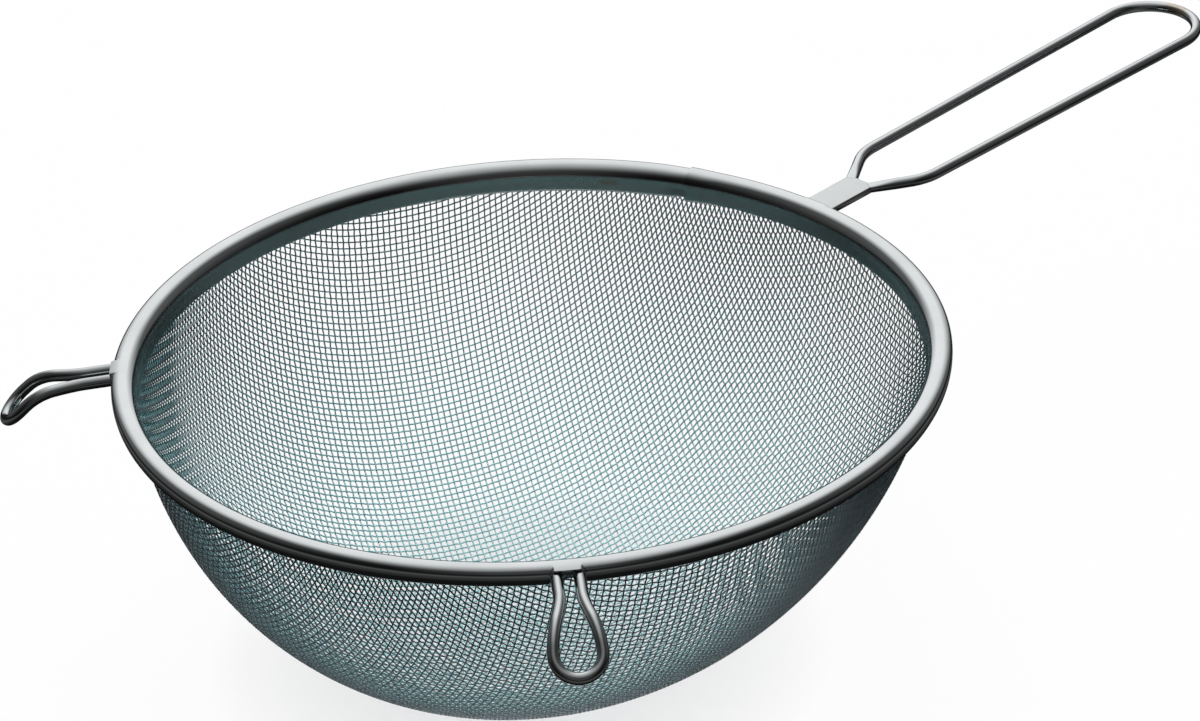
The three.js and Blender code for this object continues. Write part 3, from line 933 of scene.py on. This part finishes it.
# Brightness of the tent by the angle from its brightest side, which is behind the object and above it
TENT_STOPS = [(0, 1.0), (30, 0.9), (50, 0.65), (70, 0.45), (88, 0.28), (99, 0.18), (108, 0.10), (125, 0.05)]
TENT_RISE = 22.0
TENT_DISTANCE = 2.6
AWAY = math.radians(CAMERA_AZIMUTH + 180)
# The tent darkens to its sides, between two shares of its distance, and at the horizon, between two heights
# in degrees
TENT_SIDES = (0.2, 0.6)
SIDE_SHARE = 0.15
HORIZON_DARK = (-2.5, 5.0)
HORIZON_SHARE = 0.06

# Brightness of the floor that polished metal sees, by distance from the middle in metres, darkest close to the
# object as a painted shadow of the object
FLOOR_STOPS = [(0.0, 0.006), (0.16, 0.008), (0.22, 0.05), (0.27, 0.10), (0.34, 0.04), (0.5, 0.01)]
SHEET_LIFT = 0.0004


def set_stops(ramp, stops):
    """Greys at places along a ramp."""
    elements = ramp.color_ramp.elements
    while len(elements) < len(stops):
        elements.new(0.5)
    for element, (place, bright) in zip(elements, stops):
        element.position = place
        element.color = (bright, bright, bright, 1)


def tent_paint(nodes):
    """Bright behind and above, dark to the sides and towards the camera, with a dark band at the horizon."""
    level = math.cos(math.radians(TENT_RISE))
    brightest = (level * math.cos(AWAY), level * math.sin(AWAY), math.sin(math.radians(TENT_RISE)))
    place = nodes.add("TexCoord").outputs["Object"]
    middle = nodes.add("VectorMath", {0: place, 1: (0, 0, BOWL_DEPTH * MM)}, operation="SUBTRACT").outputs[0]
    facing = nodes.add("VectorMath", {0: middle, 1: brightest}, operation="DOT_PRODUCT").outputs["Value"]
    angle = nodes.math("ARCCOSINE", nodes.math("DIVIDE", facing, TENT_DISTANCE))
    ramp = nodes.add("ValToRGB", {"Fac": nodes.math("DIVIDE", angle, math.pi)})
    set_stops(ramp, [(degrees / 180, bright) for degrees, bright in TENT_STOPS])
    height = nodes.add("SeparateXYZ", {"Vector": middle}).outputs[2]
    low, high = [TENT_DISTANCE * math.sin(math.radians(edge)) for edge in HORIZON_DARK]
    above = nodes.math("MULTIPLY", ramp.outputs["Color"], nodes.spread(height, low, high, HORIZON_SHARE, 1.0))
    across = (-math.sin(AWAY), math.cos(AWAY), 0)
    beside = nodes.add("VectorMath", {0: middle, 1: across}, operation="DOT_PRODUCT").outputs["Value"]
    near, far = [TENT_DISTANCE * edge for edge in TENT_SIDES]
    sides = nodes.spread(nodes.math("ABSOLUTE", beside), near, far, 1.0, SIDE_SHARE)
    return nodes.math("MULTIPLY", above, sides)


def floor_paint(nodes):
    """A grey ring some way out, darker far off, and darker close to the object as a painted shadow of the
    object.
    """
    place = nodes.add("TexCoord").outputs["Object"]
    from_middle = nodes.add("VectorMath", {0: place}, operation="LENGTH").outputs["Value"]
    ramp = nodes.add("ValToRGB", {"Fac": from_middle})
    set_stops(ramp, FLOOR_STOPS)
    return ramp.outputs["Color"]


def build_tent():
    """A dome round the object and a dark sheet on the floor, just above it."""
    around = np.radians(np.linspace(-180, 180, 73))[None, :]
    up = np.radians(np.linspace(-4, 89.9, 40))[:, None]
    dome = np.stack(np.broadcast_arrays(TENT_DISTANCE * np.cos(up) * np.cos(around),
                                        TENT_DISTANCE * np.cos(up) * np.sin(around),
                                        BOWL_DEPTH * MM + TENT_DISTANCE * np.sin(up)), -1)
    add_card("tent", dome, tent_paint)
    radius = np.array([3 * FOOT_RADIUS * MM, TENT_DISTANCE])[:, None]
    sheet = np.stack(np.broadcast_arrays(radius * np.cos(around), radius * np.sin(around), SHEET_LIFT), -1)
    add_card("dark_floor", sheet, floor_paint)


LAMP_PLACE = (0.3, 0.33, 1.64)
LAMP_SIZE = 1.2
LAMP_POWER = 28.0


def build_lamp():
    """A wide soft lamp above, aimed at the foot, which polished metal doesn't show."""
    data = bpy.data.lights.new("overhead", "AREA")
    data.shape = "DISK"
    data.size = LAMP_SIZE
    data.energy = LAMP_POWER
    lamp = bpy.data.objects.new("overhead", data)
    lamp.location = LAMP_PLACE
    lamp.rotation_mode = "QUATERNION"
    lamp.rotation_quaternion = (-Vector(LAMP_PLACE)).to_track_quat("-Z", "Y")
    bpy.context.scene.collection.objects.link(lamp)
    lamp.visible_glossy = False


def build_camera():
    """The camera as solved from the rim and the outline, carried round to its azimuth."""
    turn = math.radians(CAMERA_AZIMUTH + 90)
    elevation = math.radians(CAMERA_ELEVATION)
    down = elevation + math.radians(CAMERA_TILT)
    pan = math.radians(CAMERA_PAN)
    roll = math.radians(CAMERA_ROLL)
    place = Vector((0, -CAMERA_DISTANCE * math.cos(elevation), CAMERA_DISTANCE * math.sin(elevation)))
    ahead = Vector((math.sin(pan) * math.cos(down), math.cos(pan) * math.cos(down), -math.sin(down)))
    right = Vector((math.cos(pan), -math.sin(pan), 0))
    up = right.cross(ahead)
    rolled_right = math.cos(roll) * right + math.sin(roll) * up
    rolled_up = -math.sin(roll) * right + math.cos(roll) * up
    axes = Matrix((rolled_right, rolled_up, -ahead)).transposed().to_4x4()
    data = bpy.data.cameras.new("camera")
    data.sensor_width = SENSOR_WIDTH
    data.lens = SENSOR_WIDTH * FOCAL_PIXELS / IMAGE_WIDTH
    data.clip_start = 0.05
    data.clip_end = 60.0
    camera = bpy.data.objects.new("camera", data)
    bpy.context.scene.collection.objects.link(camera)
    spun = Matrix.Rotation(turn, 4, "Z")
    place = spun @ place + Vector(RIM_MIDDLE)
    camera.matrix_world = Matrix.Translation(place * MM) @ spun @ axes
    bpy.context.scene.camera = camera


build_world()
build_floor()
build_tent()
build_lamp()
build_camera()
bpy.context.scene.view_settings.view_transform = "Standard"
